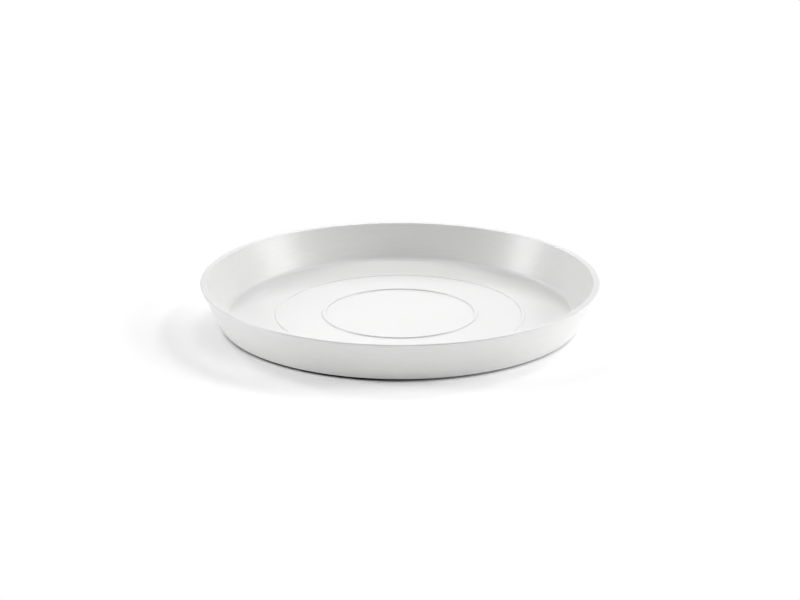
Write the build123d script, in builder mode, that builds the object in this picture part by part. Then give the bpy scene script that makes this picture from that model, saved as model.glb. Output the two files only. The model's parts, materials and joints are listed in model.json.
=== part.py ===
"""Round plant saucer: a flared moulded dish that stands on stuck-on rubber feet.

The frame has +Z up and its origin on the ground, at the middle of the saucer. Millimetres.
"""

import os
from math import cos, radians, sin, tan

from build123d import *

# Dish
rim_diameter = 240.0  # across the outside of the rim
overall_height = 25.9  # ground to the top of the rim
flare_angle = 26.0  # degrees that the wall leans out from upright
wall_thickness = 3.7  # square to the wall
floor_thickness = 3.0
stand_off = 1.3  # gap that the feet leave under the dish
rim_round = 0.6  # both edges of the flat rim
base_round = 0.9  # outer edge of the underside
cove_radius = 3.5  # inside corner between wall and floor

# Raised beads on the floor, which hold a pot up out of the drained water
inner_bead_diameter = 91.6  # to the middle of the crest
inner_bead_height = 0.7
outer_bead_diameter = 148.6  # to the middle of the crest
outer_bead_height = 0.4
bead_crest_width = 2.0
bead_draft = 0.3  # that each side spreads out, from the crest down to the floor

# Gate mark that moulding leaves in the middle of the underside
gate_dimple_diameter = 10.0
gate_dimple_depth = 0.7
gate_stub_diameter = 2.4
gate_stub_height = 0.4

# Feet, each stuck into a shallow pocket in the underside
foot_count = 6
foot_diameter = 14.0
foot_inset = 12.4  # from the edge of the underside to the edge of a foot
foot_edge_chamfer = 0.5
foot_clearance = 0.2  # from a foot to the wall of its pocket
pocket_depth = 0.9
pocket_lead_in = 0.25  # chamfer round the mouth
tape_thickness = 0.3
tape_inset = 0.4  # from the edge of a foot to the edge of its tape

# Places that follow from those sizes
flare = radians(flare_angle)
rounded_off = rim_round * ((1 + sin(flare)) / cos(flare) - 1)  # what rounding takes off the rim
rim_corner_radius = rim_diameter / 2 + rounded_off
rim_inner_radius = rim_corner_radius - wall_thickness / cos(flare)
floor_top = stand_off + floor_thickness
floor_radius = rim_inner_radius - (overall_height - floor_top) * tan(flare)
base_radius = rim_corner_radius - (overall_height - stand_off) * tan(flare)
beads = ((inner_bead_diameter, inner_bead_height), (outer_bead_diameter, outer_bead_height))
foot_height = stand_off + pocket_depth - tape_thickness
foot_places = PolarLocations(base_radius - foot_inset - foot_diameter / 2, foot_count)
upwards = (Align.CENTER, Align.CENTER, Align.MIN)

os.makedirs("parts", exist_ok=True)


def corner(sketch, point):
    """The vertex of a sketch that stands nearest to a point."""
    return sketch.vertices().sort_by_distance(point)[0]


# Dish: its section, beads included, is turned about the upright axis
with BuildPart() as saucer_body:
    with BuildSketch(Plane.XZ) as section:
        base_corner = (base_radius, stand_off)
        rim_outer = (rim_corner_radius, overall_height)
        rim_inner = (rim_inner_radius, overall_height)
        floor_corner = (floor_radius, floor_top)
        with BuildLine():
            Polyline(
                (0, stand_off),
                base_corner,
                rim_outer,
                rim_inner,
                floor_corner,
                (0, floor_top),
                close=True,
            )
        make_face()
        fillet(corner(section, base_corner), base_round)
        fillet(corner(section, rim_outer), rim_round)
        fillet(corner(section, rim_inner), rim_round)
        fillet(corner(section, floor_corner), cove_radius)
        for bead_diameter, bead_height in beads:
            crest_inner = (bead_diameter - bead_crest_width) / 2
            crest_outer = (bead_diameter + bead_crest_width) / 2
            with BuildLine():
                Polyline(
                    (crest_inner - bead_draft, floor_top),
                    (crest_inner, floor_top + bead_height),
                    (crest_outer, floor_top + bead_height),
                    (crest_outer + bead_draft, floor_top),
                    close=True,
                )
            make_face()
    revolve(axis=Axis.Z)

    # Pockets for the feet
    with BuildSketch(Plane.XY.offset(stand_off)):
        with foot_places:
            Circle(foot_diameter / 2 + foot_clearance)
    extrude(amount=pocket_depth, mode=Mode.SUBTRACT)
    chamfer(saucer_body.edges(Select.LAST).group_by(Axis.Z)[0], pocket_lead_in)

    # Gate mark: a shallow hollow, with the stub of the cut-off sprue inside it
    with BuildSketch(Plane.XZ):
        with BuildLine():
            dimple_middle = (0, stand_off + gate_dimple_depth)
            dimple_edge = (gate_dimple_diameter / 2, stand_off)
            TangentArc(dimple_middle, dimple_edge, tangent=(1, 0))
            Polyline(dimple_edge, (0, stand_off), dimple_middle)
        make_face()
    revolve(axis=Axis.Z, mode=Mode.SUBTRACT)
    with BuildSketch(Plane.XY.offset(stand_off + gate_dimple_depth)):
        Circle(gate_stub_diameter / 2)
    extrude(amount=-gate_stub_height)

saucer_body.part.label = "saucer_body"
export_step(saucer_body.part, "parts/saucer_body.step")

# Feet: rubber pads with chamfered lower edges, each under a disc of double-sided tape
for number, place in enumerate(foot_places, start=1):
    with BuildPart(Plane(place)) as foot_pad:
        Cylinder(foot_diameter / 2, foot_height, align=upwards)
        chamfer(foot_pad.edges().group_by(Axis.Z)[0], foot_edge_chamfer)
    foot_pad.part.label = f"foot_pad_{number}"
    export_step(foot_pad.part, f"parts/foot_pad_{number}.step")

    with BuildPart(Plane(place).offset(foot_height)) as foot_tape:
        Cylinder(foot_diameter / 2 - tape_inset, tape_thickness, align=upwards)
    foot_tape.part.label = f"foot_tape_{number}"
    export_step(foot_tape.part, f"parts/foot_tape_{number}.step")
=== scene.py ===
"""A white moulded plant saucer on rubber feet, dressed and lit for a studio picture.

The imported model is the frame: metres, +Z up, origin on the ground under the middle of the saucer.
"""

import json
import logging
from dataclasses import dataclass
from enum import Enum
from math import cos, hypot, pi, radians, sin, tan
from typing import Any, Sequence

import bmesh
import bpy
import numpy as np
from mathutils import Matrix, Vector

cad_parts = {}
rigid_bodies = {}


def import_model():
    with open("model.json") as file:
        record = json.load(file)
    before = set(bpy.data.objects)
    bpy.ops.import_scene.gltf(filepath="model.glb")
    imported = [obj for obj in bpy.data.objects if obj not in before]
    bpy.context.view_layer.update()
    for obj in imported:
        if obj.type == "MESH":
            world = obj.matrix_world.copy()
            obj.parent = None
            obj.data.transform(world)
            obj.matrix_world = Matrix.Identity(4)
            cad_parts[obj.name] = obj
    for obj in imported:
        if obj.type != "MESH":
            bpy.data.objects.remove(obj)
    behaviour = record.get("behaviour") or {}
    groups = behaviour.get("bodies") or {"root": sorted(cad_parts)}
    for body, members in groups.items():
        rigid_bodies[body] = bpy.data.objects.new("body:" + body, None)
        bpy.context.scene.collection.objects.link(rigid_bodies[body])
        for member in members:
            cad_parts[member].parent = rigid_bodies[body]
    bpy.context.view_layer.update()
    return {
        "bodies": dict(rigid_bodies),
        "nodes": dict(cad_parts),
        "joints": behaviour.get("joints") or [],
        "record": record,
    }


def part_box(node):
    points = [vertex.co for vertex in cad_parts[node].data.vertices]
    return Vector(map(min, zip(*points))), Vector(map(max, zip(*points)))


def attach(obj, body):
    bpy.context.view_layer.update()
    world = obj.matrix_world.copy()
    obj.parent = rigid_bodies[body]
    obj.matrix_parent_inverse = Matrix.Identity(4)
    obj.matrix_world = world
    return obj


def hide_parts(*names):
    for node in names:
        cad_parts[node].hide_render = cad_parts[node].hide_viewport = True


LOG = logging.getLogger("plant_saucer")
MM = 0.001
BODY = "root"
PHOTO_WIDTH = 800  # pixels
SENSOR_WIDTH = 36.0  # millimetres, as Blender counts a lens
WHITE = (1.0, 1.0, 1.0, 1.0)
GRAIN_OCTAVES = 3.0  # layers of noise in the grain
PATCH_OCTAVES = 2.0  # layers of noise in patches and lines

WELD = 1e-7  # metres between points that are one vertex
SHARP_ANGLE = radians(32.0)  # a steeper fold than this keeps a hard edge
TURN_STEPS = 360  # points round the dish
RUN_PITCH = 4.0 * MM  # between points along a straight run of an outline
GUARD = 0.25 * MM  # from a straight run's end to its guard point

Point = tuple[float, float]
Color = tuple[float, float, float]


class Slot(Enum):
    """The record's material slots."""

    DISH = "dish_plastic"
    FOOT = "foot_rubber"
    TAPE = "foot_tape"


def arc(centre: np.ndarray, radius: float, start: float, turn: float, steps: int) -> np.ndarray:
    """Points of an arc: the centre plus the radius times the cosine and sine of even angles.

    Args:
        centre: The arc's centre, as radius and height.
        radius: The arc's own radius.
        start: The first angle, in radians.
        turn: How far the arc goes on from there, positive anticlockwise.
        steps: The number of chords.

    Returns:
        Rows of radius and height.
    """
    angles = start + turn * np.linspace(0.0, 1.0, steps + 1)
    return centre + radius * np.column_stack((np.cos(angles), np.sin(angles)))


def rounded(before: Point, corner: Point, after: Point, radius: float, steps: int) -> np.ndarray:
    """The arc that rounds a corner and touches both of its legs.

    Its centre is on the corner's bisector, the radius over the sine of half the corner's angle away.

    Args:
        before: A point on the leg that comes in.
        corner: The sharp corner.
        after: A point on the leg that goes out.
        radius: The arc's radius.
        steps: The number of chords.

    Returns:
        Rows of radius and height, from the first leg to the second.
    """
    legs = np.array((before, after)) - corner
    legs /= np.linalg.norm(legs, axis=1, keepdims=True)
    half = np.arccos(legs[0] @ legs[1]) / 2
    bisector = legs.sum(axis=0) / np.linalg.norm(legs.sum(axis=0))
    centre = corner + bisector * radius / np.sin(half)
    touching = corner + legs * radius / np.tan(half) - centre
    angles = np.arctan2(touching[:, 1], touching[:, 0])
    turn = (angles[1] - angles[0] + pi) % (2 * pi) - pi
    return arc(centre, radius, angles[0], turn, steps)


def joined(stretches: Sequence[Any]) -> np.ndarray:
    """One outline through a row of stretches, with points along the straight runs between them.

    A run has even points about one pitch apart. Its first and last stand a guard's width from its ends,
    so that smooth shading of the corners stays off the flat.

    Args:
        stretches: Arrays of radius and height, or single points, in order.

    Returns:
        Rows of radius and height.
    """
    rows = [np.atleast_2d(stretches[0])]
    for stretch in map(np.atleast_2d, stretches[1:]):
        start, end = rows[-1][-1], stretch[0]
        length = float(np.linalg.norm(end - start))
        if length > 2 * GUARD:
            places = np.linspace(GUARD, length - GUARD, max(2, round(length / RUN_PITCH) + 1))
            rows.append(start + np.outer(places / length, end - start))
        rows.append(stretch)
    return np.vstack(rows)


def turned(outline: np.ndarray, angles: np.ndarray, middle: Point = (0.0, 0.0)) -> np.ndarray:
    """Surface of revolution: each outline point (r, z) goes round as (r cos a, r sin a, z).

    Args:
        outline: Rows of radius and height.
        angles: The angles round the upright axis.
        middle: Where the axis stands.

    Returns:
        A grid of points, one row for each outline point and one column for each angle.
    """
    radius, height = outline[:, :1], outline[:, 1:]
    x = middle[0] + radius * np.cos(angles)
    y = middle[1] + radius * np.sin(angles)
    return np.stack((x, y, np.broadcast_to(height, x.shape)), axis=-1)


def ring_faces(rows: int, columns: int) -> np.ndarray:
    """Corner numbers of the quads of a grid whose columns close into a ring."""
    row, column = np.mgrid[: rows - 1, :columns]
    past_left_shadow = (column + 1) % columns
    corners = (row * columns + column, row * columns + past_left_shadow)
    return np.stack((*corners, corners[1] + columns, corners[0] + columns), axis=-1).reshape(-1, 4)


def welded(name: str, grids: Sequence[np.ndarray]) -> bpy.types.Object:
    """One closed piece from grids that meet edge to edge.

    Args:
        name: The piece's name.
        grids: Grids of points, each closed into a ring along its columns.

    Returns:
        The piece, in the scene, at the origin.
    """
    counts = [grid.shape[0] * grid.shape[1] for grid in grids]
    starts = np.concatenate(([0], np.cumsum(counts)[:-1]))
    points = np.vstack([grid.reshape(-1, 3) for grid in grids])
    faces = np.vstack([ring_faces(*grid.shape[:2]) + start for grid, start in zip(grids, starts)])
    mesh = bpy.data.meshes.new(name)
    mesh.from_pydata(points, [], faces, shade_flat=False)
    work = bmesh.new()
    work.from_mesh(mesh)
    bmesh.ops.remove_doubles(work, verts=work.verts, dist=WELD)
    bmesh.ops.dissolve_degenerate(work, edges=work.edges, dist=WELD)
    bmesh.ops.recalc_face_normals(work, faces=work.faces)
    work.to_mesh(mesh)
    work.free()
    mesh.set_sharp_from_angle(angle=SHARP_ANGLE)
    piece = bpy.data.objects.new(name, mesh)
    bpy.context.scene.collection.objects.link(piece)
    return piece


@dataclass
class Wiring:
    """A node tree under construction."""

    tree: bpy.types.NodeTree

    def add(self, kind: str, settings: dict[str, Any] | None = None, **inputs: Any) -> bpy.types.Node:
        """Places a node.

        Args:
            kind: The node's type, less its ShaderNode prefix.
            settings: Properties of the node itself.
            **inputs: Socket values or sockets to link, by name with _ for spaces, or by number as _0, _1.

        Returns:
            The node.
        """
        node = self.tree.nodes.new("ShaderNode" + kind)
        for key, value in (settings or {}).items():
            setattr(node, key, value)
        for key, value in inputs.items():
            socket = node.inputs[int(key[1:])] if key[1:].isdigit() else node.inputs[key.replace("_", " ")]
            if isinstance(value, bpy.types.NodeSocket):
                self.tree.links.new(value, socket)
            else:
                socket.default_value = value
        return node

    def math(self, operation: str, *values: Any) -> bpy.types.NodeSocket:
        """The result of a Math node on values or sockets."""
        operands = {f"_{number}": value for number, value in enumerate(values)}
        return self.add("Math", {"operation": operation}, **operands).outputs[0]


def new_material(name: str) -> tuple[bpy.types.Material, Wiring, bpy.types.Node]:
    """An empty node material, its wiring and its output node."""
    material = bpy.data.materials.new(name)
    material.use_nodes = True
    material.node_tree.nodes.clear()
    wiring = Wiring(material.node_tree)
    return material, wiring, wiring.add("OutputMaterial")


def mould_skin() -> bpy.types.ShaderNodeTree:
    """The shared surface of moulded pieces: a fine grain, and slow patches where the skin differs.

    Returns:
        A node group. Height is the grain from -1 to 1, and Patch drifts from 0 to 1.
    """
    group = bpy.data.node_groups.new("mould skin", "ShaderNodeTree")
    sockets = (
        ("Vector", "INPUT", "NodeSocketVector"),
        ("Grain Scale", "INPUT", "NodeSocketFloat"),
        ("Patch Scale", "INPUT", "NodeSocketFloat"),
        ("Height", "OUTPUT", "NodeSocketFloat"),
        ("Patch", "OUTPUT", "NodeSocketFloat"),
    )
    for name, way, kind in sockets:
        group.interface.new_socket(name=name, in_out=way, socket_type=kind)
    wiring = Wiring(group)
    enter = group.nodes.new("NodeGroupInput").outputs
    leave = group.nodes.new("NodeGroupOutput")
    grain = wiring.add("TexNoise", Vector=enter["Vector"], Scale=enter["Grain Scale"], Detail=GRAIN_OCTAVES)
    patch = wiring.add("TexNoise", Vector=enter["Vector"], Scale=enter["Patch Scale"], Detail=PATCH_OCTAVES)
    height = wiring.math("MULTIPLY_ADD", grain.outputs["Fac"], 2.0, -1.0)
    group.links.new(height, leave.inputs["Height"])
    group.links.new(patch.outputs["Fac"], leave.inputs["Patch"])
    return group


@dataclass(frozen=True)
class SatinPlastic:
    """White moulded plastic: a satin skin with fine lines round it, as the turned mould left them."""

    color: Color = (0.89, 0.89, 0.885)
    patch_color: Color = (0.855, 0.855, 0.85)
    roughness: float = 0.27
    roughness_spread: float = 0.06
    ior: float = 1.49
    grain_scale: float = 1500.0  # per metre
    grain_height: float = 0.006 * MM
    line_scale: float = 800.0  # lines per metre across the turned surface
    line_drift: float = 80.0  # changes per metre along a line
    line_height: float = 0.03 * MM
    line_tone: float = 1.2  # how far the lines drift between the two colours: part pattern of the turned lines, part painted sheen streaks like those the lines give in highlights
    line_loss: float = 0.85  # share of the lines that level faces lack
    patch_scale: float = 14.0

    def material(self, skin: bpy.types.ShaderNodeTree) -> bpy.types.Material:
        """Builds the finish.

        Args:
            skin: The shared surface of moulded pieces.

        Returns:
            The material.
        """
        material, wiring, output = new_material("satin_white_plastic")
        coordinates = wiring.add("TexCoord").outputs
        surface = wiring.add("Group", {"node_tree": skin}, Vector=coordinates["Object"],
                             Grain_Scale=self.grain_scale, Patch_Scale=self.patch_scale)
        patch = surface.outputs["Patch"]
        lines = self.lines(wiring, coordinates)
        # Painted sheen, in part: the turned lines shift the colour a little, standing in for the streaks
        # they give in highlights as well as their own pattern.
        patch_and_sheen_streaks = wiring.math("MULTIPLY_ADD", lines, self.line_tone, patch)
        color = wiring.add("Mix", {"data_type": "RGBA"}, _0=patch_and_sheen_streaks, _6=(*self.color, 1.0),
                           _7=(*self.patch_color, 1.0))
        roughness = wiring.math("MULTIPLY_ADD", patch, self.roughness_spread, self.roughness)
        grain = wiring.math("MULTIPLY", surface.outputs["Height"], self.grain_height)
        height = wiring.math("MULTIPLY_ADD", lines, self.line_height, grain)
        bump = wiring.add("Bump", Strength=1.0, Distance=1.0, Height=height)
        shader = wiring.add("BsdfPrincipled", Base_Color=color.outputs[2], Roughness=roughness,
                            Normal=bump.outputs["Normal"], IOR=self.ior)
        wiring.tree.links.new(shader.outputs["BSDF"], output.inputs["Surface"])
        return material

    def lines(self, wiring: Wiring, coordinates: bpy.types.NodeOutputs) -> bpy.types.NodeSocket:
        """Fine lines round the axis: noise that is drawn out round it and tight across it.

        The tight direction is the distance from the axis plus the height, which grows steadily along
        the outline of the dish. The lines are faint where the surface lies level: they lose a share of
        their height that grows with the square of its normal's upright part.

        Args:
            wiring: The material's wiring.
            coordinates: The outputs of a Texture Coordinate node.

        Returns:
            A height about 0, from -1 to 1.
        """
        apart = wiring.add("SeparateXYZ", Vector=coordinates["Object"]).outputs
        flat = wiring.add("CombineXYZ", X=apart["X"], Y=apart["Y"]).outputs[0]
        from_axis = wiring.add("VectorMath", {"operation": "LENGTH"}, _0=flat).outputs["Value"]
        across = wiring.math("MULTIPLY", wiring.math("ADD", from_axis, apart["Z"]), self.line_scale)
        along_x = wiring.math("MULTIPLY", apart["X"], self.line_drift)
        along_y = wiring.math("MULTIPLY", apart["Y"], self.line_drift)
        drawn_out = wiring.add("CombineXYZ", X=along_x, Y=along_y, Z=across).outputs[0]
        noise = wiring.add("TexNoise", Vector=drawn_out, Scale=1.0, Detail=PATCH_OCTAVES).outputs["Fac"]
        height = wiring.math("MULTIPLY_ADD", noise, 2.0, -1.0)
        up = wiring.add("SeparateXYZ", Vector=coordinates["Normal"]).outputs["Z"]
        kept = wiring.math("MULTIPLY_ADD", wiring.math("MULTIPLY", up, up), -self.line_loss, 1.0)
        return wiring.math("MULTIPLY", height, kept)


@dataclass(frozen=True)
class FootRubber:
    """Matt black rubber with a coarse moulded grain."""

    color: Color = (0.035, 0.035, 0.037)
    worn_color: Color = (0.06, 0.06, 0.06)
    roughness: float = 0.62
    roughness_spread: float = 0.15
    grain_scale: float = 1900.0
    grain_height: float = 0.02 * MM
    patch_scale: float = 240.0

    def material(self, skin: bpy.types.ShaderNodeTree) -> bpy.types.Material:
        """Builds the finish from the shared moulded surface, as a material."""
        return skinned("matt_black_rubber", self, self.worn_color, skin)


@dataclass(frozen=True)
class TapeFilm:
    """Off-white double-sided tape, slightly mottled by its glue."""

    color: Color = (0.8, 0.78, 0.72)
    mottled_color: Color = (0.7, 0.67, 0.6)
    roughness: float = 0.45
    roughness_spread: float = 0.2
    grain_scale: float = 900.0
    grain_height: float = 0.01 * MM
    patch_scale: float = 400.0

    def material(self, skin: bpy.types.ShaderNodeTree) -> bpy.types.Material:
        """Builds the finish from the shared moulded surface, as a material."""
        return skinned("double_sided_tape", self, self.mottled_color, skin)


def skinned(
    name: str, finish: FootRubber | TapeFilm, other: Color, skin: bpy.types.ShaderNodeTree
) -> bpy.types.Material:
    """A plain material with the shared moulded surface.

    Args:
        name: The material's name.
        finish: Where its values come from.
        other: The colour that its patches drift to.
        skin: The shared surface of moulded pieces.

    Returns:
        The material.
    """
    material, wiring, output = new_material(name)
    place = wiring.add("TexCoord").outputs["Object"]
    surface = wiring.add("Group", {"node_tree": skin}, Vector=place, Grain_Scale=finish.grain_scale,
                         Patch_Scale=finish.patch_scale)
    patch = surface.outputs["Patch"]
    color = wiring.add("Mix", {"data_type": "RGBA"}, _0=patch, _6=(*finish.color, 1.0), _7=(*other, 1.0))
    roughness = wiring.math("MULTIPLY_ADD", patch, finish.roughness_spread, finish.roughness)
    height = wiring.math("MULTIPLY", surface.outputs["Height"], finish.grain_height)
    bump = wiring.add("Bump", Strength=1.0, Distance=1.0, Height=height)
    shader = wiring.add("BsdfPrincipled", Base_Color=color.outputs[2], Roughness=roughness,
                        Normal=bump.outputs["Normal"])
    wiring.tree.links.new(shader.outputs["BSDF"], output.inputs["Surface"])
    return material


@dataclass
class Foot:
    """A rubber foot, stuck into its pocket in the underside of the dish."""

    number: int
    middle: Point
    radius: float
    height: float
    chamfer: float = 0.5 * MM
    edge_round: float = 0.15 * MM
    edge_steps: int = 4
    turn_steps: int = 96

    @classmethod
    def from_frame(cls, number: int) -> "Foot":
        """The foot with that number, at its size and place in the frame."""
        low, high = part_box(f"foot_pad_{number}")
        middle = (low + high) / 2
        return cls(number, (middle.x, middle.y), (high.x - low.x) / 2, high.z)

    @property
    def angle(self) -> float:
        """The foot's angle round the dish."""
        return float(np.arctan2(self.middle[1], self.middle[0]))

    @property
    def from_axis(self) -> float:
        """The distance from the dish's axis to the foot's own."""
        return hypot(*self.middle)

    def build(self, finish: bpy.types.Material) -> bpy.types.Object:
        """Makes the foot: its outline, with softened edges, turned about its own axis.

        Args:
            finish: The rubber.

        Returns:
            The piece.
        """
        corners = (
            (0.0, 0.0),
            (self.radius - self.chamfer, 0.0),
            (self.radius, self.chamfer),
            (self.radius, self.height),
            (0.0, self.height),
        )
        edges = [rounded(*corners[i - 1 : i + 2], self.edge_round, self.edge_steps) for i in (1, 2, 3)]
        angles = np.linspace(0.0, 2 * pi, self.turn_steps, endpoint=False)
        grid = turned(joined([corners[0], *edges, corners[-1]]), angles, self.middle)
        piece = welded(f"foot_{self.number}", [grid])
        piece.data.materials.append(finish)
        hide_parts(f"foot_pad_{self.number}")
        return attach(piece, BODY)


@dataclass
class Dish:
    """The moulded dish: flared wall, flat rim, beaded floor, and pockets for the feet underneath."""

    rim_radius: float
    height: float
    stand_off: float
    floor_top: float
    pocket_ceiling: float
    feet: list[Foot]
    flare: float = radians(26.0)
    wall: float = 3.7 * MM
    rim_round: float = 0.6 * MM
    base_round: float = 0.9 * MM
    cove_radius: float = 3.5 * MM
    beads: tuple[Point, ...] = ((74.3 * MM, 0.4 * MM), (45.8 * MM, 0.7 * MM))  # radius and height of each
    bead_crest: float = 2.0 * MM
    bead_draft: float = 0.3 * MM
    bead_round: float = 0.15 * MM
    gate_radius: float = 5.0 * MM
    gate_depth: float = 0.7 * MM
    gate_stub_radius: float = 1.2 * MM
    gate_stub_height: float = 0.4 * MM
    foot_clearance: float = 0.2 * MM
    pocket_lead_in: float = 0.25 * MM
    pocket_margin: float = 6.0 * MM
    corner_steps: int = 10
    bead_steps: int = 4
    side_steps: int = 12

    @classmethod
    def from_frame(cls, frame: dict[str, Any], feet: list[Foot]) -> "Dish":
        """The dish at its size and place in the frame.

        Args:
            feet: The feet that its pockets hold.

        Returns:
            The dish, not built yet.
        """
        low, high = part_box("saucer_body")
        mounts = {mount["name"]: mount for mount in frame["record"]["mounts"]}
        floor_top = mounts["pot_floor"]["pos_m"][2]
        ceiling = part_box(f"foot_tape_{feet[0].number}")[1].z
        return cls(high.x, high.z, low.z, floor_top, ceiling, feet)

    def bead(self, middle: float, height: float) -> list[np.ndarray]:
        """A bead across the floor: a flat crest between two leaning sides, with its four corners rounded.

        Args:
            middle: The distance from the axis to the middle of the crest.
            height: The crest's height above the floor.

        Returns:
            The four corner arcs, from the outer side inwards.
        """
        crest, root = self.bead_crest / 2, self.bead_crest / 2 + self.bead_draft
        top = self.floor_top + height
        corners = (
            (middle + 2 * root, self.floor_top),
            (middle + root, self.floor_top),
            (middle + crest, top),
            (middle - crest, top),
            (middle - root, self.floor_top),
            (middle - 2 * root, self.floor_top),
        )
        return [rounded(*corners[i : i + 3], self.bead_round, self.bead_steps) for i in range(4)]

    def shell_outline(self, start: float) -> np.ndarray:
        """The section from the underside, round the wall and rim, and over the floor to the axis.

        Args:
            start: The radius on the underside that it starts from.

        Returns:
            Rows of radius and height.
        """
        lean = tan(self.flare)
        trimmed = self.rim_round * ((1 + sin(self.flare)) / cos(self.flare) - 1)
        rim_outer = (self.rim_radius + trimmed, self.height)
        rim_inner = (rim_outer[0] - self.wall / cos(self.flare), self.height)
        base = (rim_outer[0] - (self.height - self.stand_off) * lean, self.stand_off)
        floor = (rim_inner[0] - (self.height - self.floor_top) * lean, self.floor_top)
        first, last = (start, self.stand_off), (0.0, self.floor_top)
        corners = (first, base, rim_outer, rim_inner, floor, last)
        radii = (self.base_round, self.rim_round, self.rim_round, self.cove_radius)
        stretches = [rounded(*corners[i : i + 3], radii[i], self.corner_steps) for i in range(len(radii))]
        for middle, height in self.beads:
            stretches += self.bead(middle, height)
        return joined([first, *stretches, last])

    def gate_outline(self, end: float) -> np.ndarray:
        """The section of the underside's middle: the sprue's stub, the dimple round it and flat ground.

        The dimple is part of a sphere, whose radius is (r² + d²) / 2d for a mouth r and a depth d.

        Args:
            end: The radius on the underside that it runs out to.

        Returns:
            Rows of radius and height.
        """
        sphere = (self.gate_radius**2 + self.gate_depth**2) / (2 * self.gate_depth)
        centre = np.array((0.0, self.stand_off + self.gate_depth - sphere))
        stub_angle = np.arccos(self.gate_stub_radius / sphere)
        mouth_angle = np.arccos(self.gate_radius / sphere)
        dimple = arc(centre, sphere, stub_angle, mouth_angle - stub_angle, self.corner_steps)
        stub_end = self.stand_off + self.gate_depth - self.gate_stub_height
        return joined([(0.0, stub_end), (self.gate_stub_radius, stub_end), dimple, (end, self.stand_off)])

    def pocket(self, foot: Foot, inside: float, outside: float) -> list[np.ndarray]:
        """A foot's pocket and its share of the flat underside round it.

        The share is a ruled surface between the pocket's mouth and the outline of a sector of the
        underside. The mouth's points stand on the lines from its middle to the outline's points.

        Args:
            foot: The foot that it holds.
            inside: The sector's inner radius.
            outside: The sector's outer radius.

        Returns:
            Two grids: the flat share, and the pocket's lead-in, wall and ceiling.
        """
        across = TURN_STEPS // len(self.feet)
        half = pi / len(self.feet)
        there = np.linspace(-half, half, across, endpoint=False)
        back = np.linspace(half, -half, across, endpoint=False)
        inwards = np.linspace(outside, inside, self.side_steps, endpoint=False)
        outwards = np.linspace(inside, outside, self.side_steps, endpoint=False)
        sides = np.ones(self.side_steps)
        bearing = foot.angle + np.concatenate((there, half * sides, back, -half * sides))
        distance = np.concatenate((np.full(across, outside), inwards, np.full(across, inside), outwards))
        edge = distance[:, None] * np.column_stack((np.cos(bearing), np.sin(bearing)))
        spokes = edge - np.array(foot.middle)
        angles = np.arctan2(spokes[:, 1], spokes[:, 0])
        wall = foot.radius + self.foot_clearance
        outline = np.array((
            (wall + self.pocket_lead_in, self.stand_off),
            (wall, self.stand_off + self.pocket_lead_in),
            (wall, self.pocket_ceiling),
            (0.0, self.pocket_ceiling),
        ))
        hollow = turned(outline, angles, foot.middle)
        border = np.column_stack((edge, np.full(len(edge), self.stand_off)))
        return [np.stack((border, hollow[0])), hollow]

    def build(self, finish: bpy.types.Material) -> bpy.types.Object:
        """Makes the dish as one closed mesh.

        Args:
            finish: The plastic.

        Returns:
            The piece.
        """
        foot = self.feet[0]
        reach = foot.radius + self.foot_clearance + self.pocket_lead_in + self.pocket_margin
        inside, outside = foot.from_axis - reach, foot.from_axis + reach
        angles = np.linspace(0.0, 2 * pi, TURN_STEPS, endpoint=False)
        grids = [turned(self.shell_outline(outside), angles), turned(self.gate_outline(inside), angles)]
        for foot in self.feet:
            grids += self.pocket(foot, inside, outside)
        piece = welded("dish", grids)
        piece.data.materials.append(finish)
        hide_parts("saucer_body")
        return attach(piece, BODY)


@dataclass(frozen=True)
class Viewpoint:
    """The camera, as the saucer's ellipses in the photograph place it."""

    distance: float = 1.5733  # from the origin
    elevation: float = radians(18.89)  # of the camera, seen from the origin
    tilt: float = radians(18.46)  # of its axis, below the horizon
    focal_pixels: float = 2600.0

    def build(self) -> bpy.types.Object:
        """Makes the camera and gives it to the scene."""
        data = bpy.data.cameras.new("camera")
        data.sensor_fit = "HORIZONTAL"
        data.sensor_width = SENSOR_WIDTH
        data.lens = self.focal_pixels / PHOTO_WIDTH * SENSOR_WIDTH
        camera = bpy.data.objects.new("camera", data)
        camera.location = (0.0, -self.distance * cos(self.elevation), self.distance * sin(self.elevation))
        camera.rotation_euler = (pi / 2 - self.tilt, 0.0, 0.0)
        bpy.context.scene.collection.objects.link(camera)
        bpy.context.scene.camera = camera
        return camera


@dataclass(frozen=True)
class Softbox:
    """A rectangular soft light that faces the saucer. Azimuth 0 is the camera's side and 90 is +X."""

    name: str
    azimuth: float  # degrees
    elevation: float  # degrees
    width: float
    height: float
    radiance: float
    distance: float = 1.4  # from the origin

    def build(self) -> bpy.types.Object:
        """Makes the light, with the power that gives it its radiance."""
        azimuth, elevation = radians(self.azimuth), radians(self.elevation)
        towards = Vector((sin(azimuth) * cos(elevation), -cos(azimuth) * cos(elevation), sin(elevation)))
        data = bpy.data.lights.new(self.name, "AREA")
        data.shape = "RECTANGLE"
        data.size, data.size_y = self.width, self.height
        data.energy = self.radiance * pi * self.width * self.height
        light = bpy.data.objects.new(self.name, data)
        light.location = towards * self.distance
        light.rotation_euler = towards.to_track_quat("Z", "Y").to_euler()
        bpy.context.scene.collection.objects.link(light)
        return light


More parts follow.
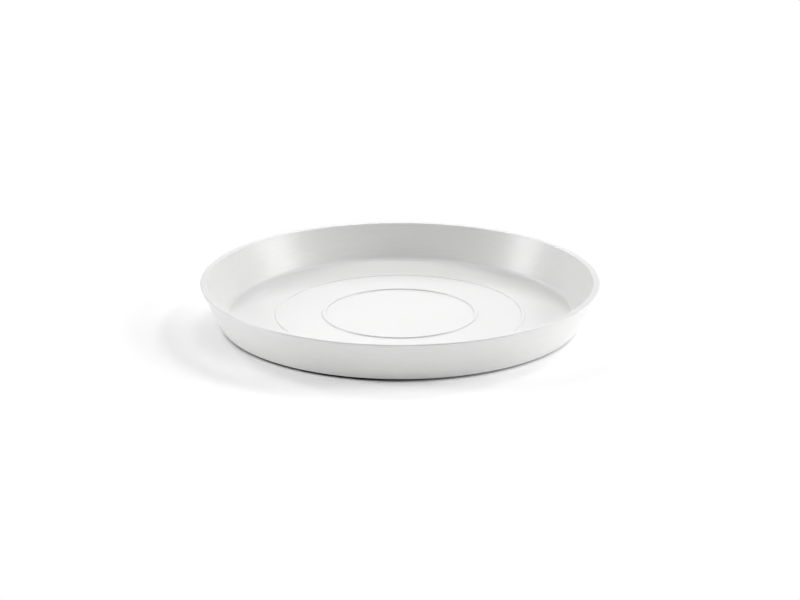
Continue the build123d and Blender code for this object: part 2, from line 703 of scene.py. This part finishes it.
@dataclass(frozen=True)
class Studio:
    """White paper under the saucer, the soft lights round it and a plain white surround."""

    softboxes: tuple[Softbox, ...] = (
        Softbox("overhead_softbox", 180.0, 89.5, 1.0, 1.0, 1.44),
        Softbox("back_lower_softbox", 180.0, 25.0, 0.36, 0.24, 3.4),
        Softbox("back_upper_softbox", 180.0, 60.0, 0.36, 0.3, 2.6),
        Softbox("left_back_softbox", -130.0, 44.0, 0.24, 0.24, 14.0),
        Softbox("right_back_softbox", 130.0, 44.0, 0.24, 0.24, 18.0),
        Softbox("left_upper_softbox", -90.0, 30.0, 0.36, 0.24, 13.6),
        Softbox("left_lower_softbox", -92.0, 17.0, 0.36, 0.3, 9.8),
        Softbox("right_upper_softbox", 92.5, 30.0, 0.66, 0.24, 11.3),
        Softbox("right_lower_softbox", 88.5, 15.0, 0.56, 0.24, 8.5),
        Softbox("front_fill", 0.0, 5.0, 0.36, 0.2, 7.5),
    )
    ambient: float = 0.02
    floor_side: float = 12.0
    paper: float = 1.32  # painted light: the paper's colour, set above white, so it sends back more light than falls on it
    paper_left: float = 1.08  # painted shadow: the paper's colour close to the left side of the dish
    left_centre: Point = (-0.09, -0.02)  # middle of that painted shadow, from which the paper's colour rises again
    left_reach: tuple[float, float] = (0.02, 0.078)  # where that rise starts and ends
    contact: float = 0.05  # painted shade: the paper's colour right under the dish, nearly black
    contact_centre: Point = (0.0, -0.0016)
    contact_radius: float = 0.1038
    lit_radius: float = 0.1083  # the painted shade ends here, and the paper has its full colour from here on
    shade_centre: Point = (-0.03, -0.02)  # middle of the stretch of paper that shows its shading
    shade_radius: float = 0.08  # the paper shows its shading up to here
    white_radius: float = 0.2  # and is plain white from here

    def build(self) -> None:
        """Makes the lights, the surround and the floor, and sets the view transform."""
        for softbox in self.softboxes:
            softbox.build()
        self.surround()
        self.floor()
        bpy.context.scene.view_settings.view_transform = "Standard"

    @staticmethod
    def seen(wiring: Wiring) -> bpy.types.NodeSocket:
        """A mask of the rays that show the background: camera, glossy and transmission rays."""
        path = wiring.add("LightPath").outputs
        gloss = wiring.math("MAXIMUM", path["Is Glossy Ray"], path["Is Transmission Ray"])
        return wiring.math("MAXIMUM", path["Is Camera Ray"], gloss)

    def surround(self) -> None:
        """Lights the scene a little from all round, and shows white behind the floor's edge."""
        world = bpy.data.worlds.new("studio")
        bpy.context.scene.world = world
        world.use_nodes = True
        world.node_tree.nodes.clear()
        wiring = Wiring(world.node_tree)
        strength = wiring.add("MapRange", Value=self.seen(wiring), To_Min=self.ambient, To_Max=1.0)
        background = wiring.add("Background", Color=WHITE, Strength=strength.outputs[0])
        output = wiring.add("OutputWorld")
        wiring.tree.links.new(background.outputs[0], output.inputs["Surface"])

    def floor(self) -> bpy.types.Object:
        """Makes the floor: a white sheet that shows the saucer's shadow, partly painted into its colour,
        and fades to plain white.
        """
        half = self.floor_side / 2
        corners = [(-half, -half, 0.0), (half, -half, 0.0), (half, half, 0.0), (-half, half, 0.0)]
        mesh = bpy.data.meshes.new("floor")
        mesh.from_pydata(corners, [], [(0, 1, 2, 3)])
        mesh.materials.append(self.paper_material())
        floor = bpy.data.objects.new("floor", mesh)
        bpy.context.scene.collection.objects.link(floor)
        return floor

    @staticmethod
    def rise(
        wiring: Wiring, place: bpy.types.NodeSocket, centre: Point, start: float, end: float
    ) -> bpy.types.NodeSocket:
        """A smooth step over the distance from a centre on the floor.

        Args:
            wiring: The material's wiring.
            place: Object coordinates.
            centre: The point that the distance is taken from.
            start: The distance up to which the step is 0.
            end: The distance from which it is 1.

        Returns:
            The step.
        """
        away = wiring.add("VectorMath", {"operation": "DISTANCE"}, _0=place, _1=(*centre, 0.0))
        step = wiring.add("MapRange", {"interpolation_type": "SMOOTHSTEP"}, Value=away.outputs["Value"],
                          From_Min=start, From_Max=end)
        return step.outputs[0]

    def paper_material(self) -> bpy.types.Material:
        """The floor's paper.

        Returns:
            A diffuse material whose colour is set above white as painted light, with painted shade under
            the saucer and a painted shadow to its left. It shows its shading near the saucer.
        """
        material, wiring, output = new_material("white_paper")
        place = wiring.add("TexCoord").outputs["Object"]
        fade = self.rise(wiring, place, self.shade_centre, self.shade_radius, self.white_radius)
        plain = wiring.math("MULTIPLY", fade, self.seen(wiring))
        # Painted shade: the paper's colour drops to nearly black under the dish.
        past_painted_shade = self.rise(wiring, place, self.contact_centre, self.contact_radius, self.lit_radius)
        # Painted shadow: the paper's colour is darker to the left of the dish.
        past_left_shadow = self.rise(wiring, place, self.left_centre, *self.left_reach)
        # Painted light: away from the painted shadow, the paper's colour is set above white.
        paper_with_left_shadow = wiring.add("MapRange", Value=past_left_shadow, To_Min=self.paper_left, To_Max=self.paper).outputs[0]
        brightness = wiring.add("MapRange", Value=past_painted_shade, To_Min=self.contact, To_Max=paper_with_left_shadow).outputs[0]
        shaded = wiring.add("BsdfDiffuse", Color=brightness).outputs[0]
        white = wiring.add("Emission", Color=WHITE, Strength=1.0).outputs[0]
        both = wiring.add("MixShader", _0=plain, _1=shaded, _2=white).outputs[0]
        wiring.tree.links.new(both, output.inputs["Surface"])
        return material


def dress_tape(frame: dict[str, Any], finish: bpy.types.Material) -> None:
    """Gives the tape discs of the frame their finish.

    Args:
        finish: The tape's material.
    """
    for name, node in frame["nodes"].items():
        if name.startswith("foot_tape_"):
            node.material_slots[0].material = finish


def main() -> None:
    """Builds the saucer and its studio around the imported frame."""
    logging.basicConfig(level=logging.INFO, format="%(name)s: %(message)s")
    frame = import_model()

    skin = mould_skin()
    rubber = FootRubber().material(skin)
    foot_count = sum(name.startswith("foot_pad_") for name in frame["nodes"])
    feet = [Foot.from_frame(number) for number in range(1, foot_count + 1)]
    pieces = [foot.build(rubber) for foot in feet]
    pieces.append(Dish.from_frame(frame, feet).build(SatinPlastic().material(skin)))
    dress_tape(frame, TapeFilm().material(skin))
    for piece in pieces:
        LOG.info("%s: %d faces", piece.name, len(piece.data.polygons))

    Viewpoint().build()
    Studio().build()


if __name__ == "__main__":
    main()
